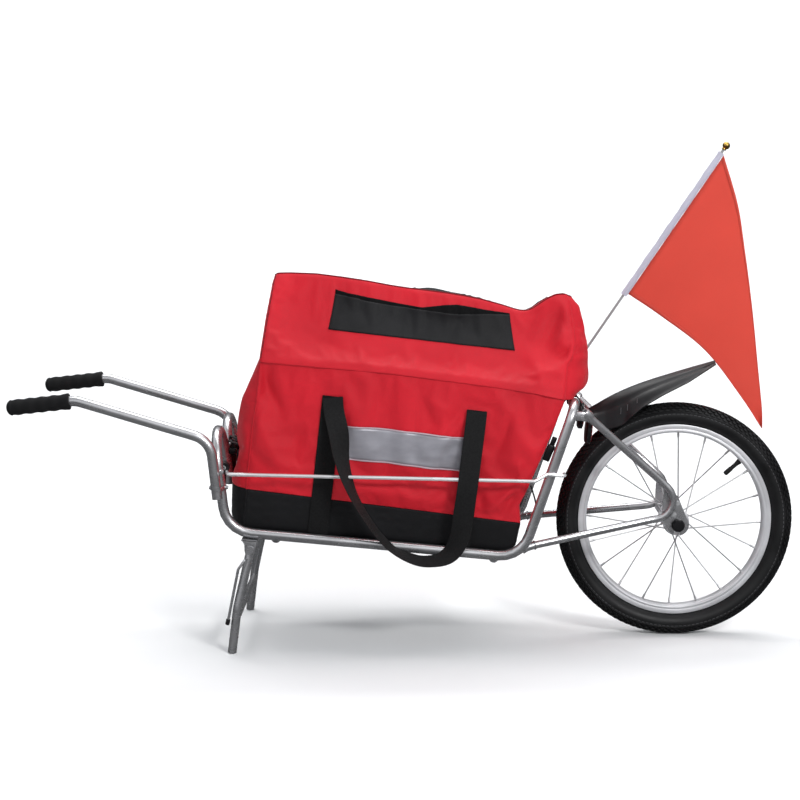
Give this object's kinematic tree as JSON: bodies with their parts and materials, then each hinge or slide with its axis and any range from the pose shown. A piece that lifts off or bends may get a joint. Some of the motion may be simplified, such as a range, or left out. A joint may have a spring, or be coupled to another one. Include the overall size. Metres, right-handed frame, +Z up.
{
  "type": "bicycle cargo trailer",
  "caption": "Single-wheel bicycle cargo trailer: tube frame with hand grips, folding double stand, removable soft bag, mudguard, reflectors and safety flag.",
  "frame": {"origin": "on the ground, at the centre of the parked trailer's footprint box", "axes": "+X runs back from the handles to the wheel, +Y to the trailer's right-hand side, +Z up"},
  "size_m": [1.3023, 0.3238, 0.8368],
  "materials": {
    "silver_tube": "silver-grey powder coat, semi-gloss",
    "satin_alloy": "satin anodised",
    "spoke_wire": "bright drawn wire",
    "black_coated_steel": "black semi-gloss coat",
    "black_plastic": "moulded, slightly grained",
    "black_foam": "matt closed-cell foam",
    "red_lens": "glossy moulded prisms",
    "black_rubber": "matt",
    "tyre_rubber": "matt with fine tread",
    "brass_ball": "polished",
    "white_fibreglass": "smooth",
    "white_sleeve": "thin woven sleeve",
    "orange_red_nylon": "thin woven nylon",
    "red_oxford_cloth": "coated oxford weave",
    "black_oxford_cloth": "coated oxford weave",
    "black_webbing": "ribbed webbing"
  },
  "bodies": {
    "frame": {"side_rail_left": "silver_tube", "side_rail_right": "silver_tube", "front_arch_left": "silver_tube", "front_arch_right": "silver_tube", "rear_crossbar": "silver_tube", "floor_tube_front": "silver_tube", "floor_tube_rear": "silver_tube", "floor_panel": "black_coated_steel", "handle_arm_left": "silver_tube", "handle_arm_right": "silver_tube", "handle_grip_left": "black_foam", "handle_grip_right": "black_foam", "arm_clamp_left": "silver_tube", "arm_clamp_right": "silver_tube", "hitch_barrel": "black_coated_steel", "guard_rod_left": "silver_tube", "guard_rod_right": "silver_tube", "wheel_stay_left": "silver_tube", "wheel_stay_right": "silver_tube", "dropout_left": "silver_tube", "dropout_right": "silver_tube", "stay_gusset_left": "silver_tube", "stay_gusset_right": "silver_tube", "axle": "silver_tube", "axle_cap_left": "black_plastic", "axle_cap_right": "black_plastic", "mudguard_bracket": "black_coated_steel", "reflector_housing_left": "black_plastic", "reflector_housing_right": "black_plastic", "reflector_lens_left": "red_lens", "reflector_lens_right": "red_lens", "flag_socket": "silver_tube", "stand_bracket_left": "silver_tube", "stand_bracket_right": "silver_tube", "bag_base": "black_oxford_cloth", "bag_body": "red_oxford_cloth", "bag_lid": "red_oxford_cloth", "carry_handle_left": "black_webbing", "carry_handle_right": "black_webbing"},
    "wheel": {"tyre": "tyre_rubber", "inner_tube": "black_rubber", "rim": "satin_alloy", "hub_shell": "satin_alloy", "spokes_left": "spoke_wire", "spokes_right": "spoke_wire", "valve_stem": "black_rubber"},
    "stand": {"stand_leg_left": "silver_tube", "stand_leg_right": "silver_tube", "stand_cross_tube": "silver_tube", "stand_pivot_rod": "silver_tube"},
    "stand_lever": {"stand_lever": "silver_tube", "stand_lever_tip": "black_rubber"},
    "mudguard": {"mudguard": "black_plastic"},
    "hitch_swivel": {"hitch_swivel": "black_coated_steel", "hitch_pin": "silver_tube"},
    "flag": {"flag_pole": "white_fibreglass", "flag_ball": "brass_ball", "flag_sleeve": "white_sleeve", "flag": "orange_red_nylon"}
  },
  "joints": [
    {"name": "wheel_spin", "type": "hinge", "parent": "frame", "child": "wheel", "pos_m": [0.4514, 0, 0.2], "axis": [0, 1, 0], "continuous": true},
    {"name": "stand_fold", "type": "hinge", "parent": "frame", "child": "stand", "pos_m": [-0.25872, 0, 0.17228], "axis": [0, -1, 0], "range_deg": [0, 88]},
    {"name": "lever_swing", "type": "hinge", "parent": "stand", "child": "stand_lever", "pos_m": [-0.2658, 0, 0.15785], "axis": [0, 1, 0], "range_deg": [0, 45]},
    {"name": "mudguard_tilt", "type": "hinge", "parent": "frame", "child": "mudguard", "pos_m": [0.31009, 0, 0.3805], "axis": [0, -1, 0], "range_deg": [0, 12]},
    {"name": "hitch_yaw", "type": "hinge", "parent": "frame", "child": "hitch_swivel", "pos_m": [-0.30836, 0, 0.28755], "axis": [0.0872, 0, 0.9962], "range_deg": [-70, 70]},
    {"name": "flag_lift", "type": "slide", "parent": "frame", "child": "flag", "axis": [0.5563, 0, 0.831], "range_m": [0, 0.05]}
  ]
}
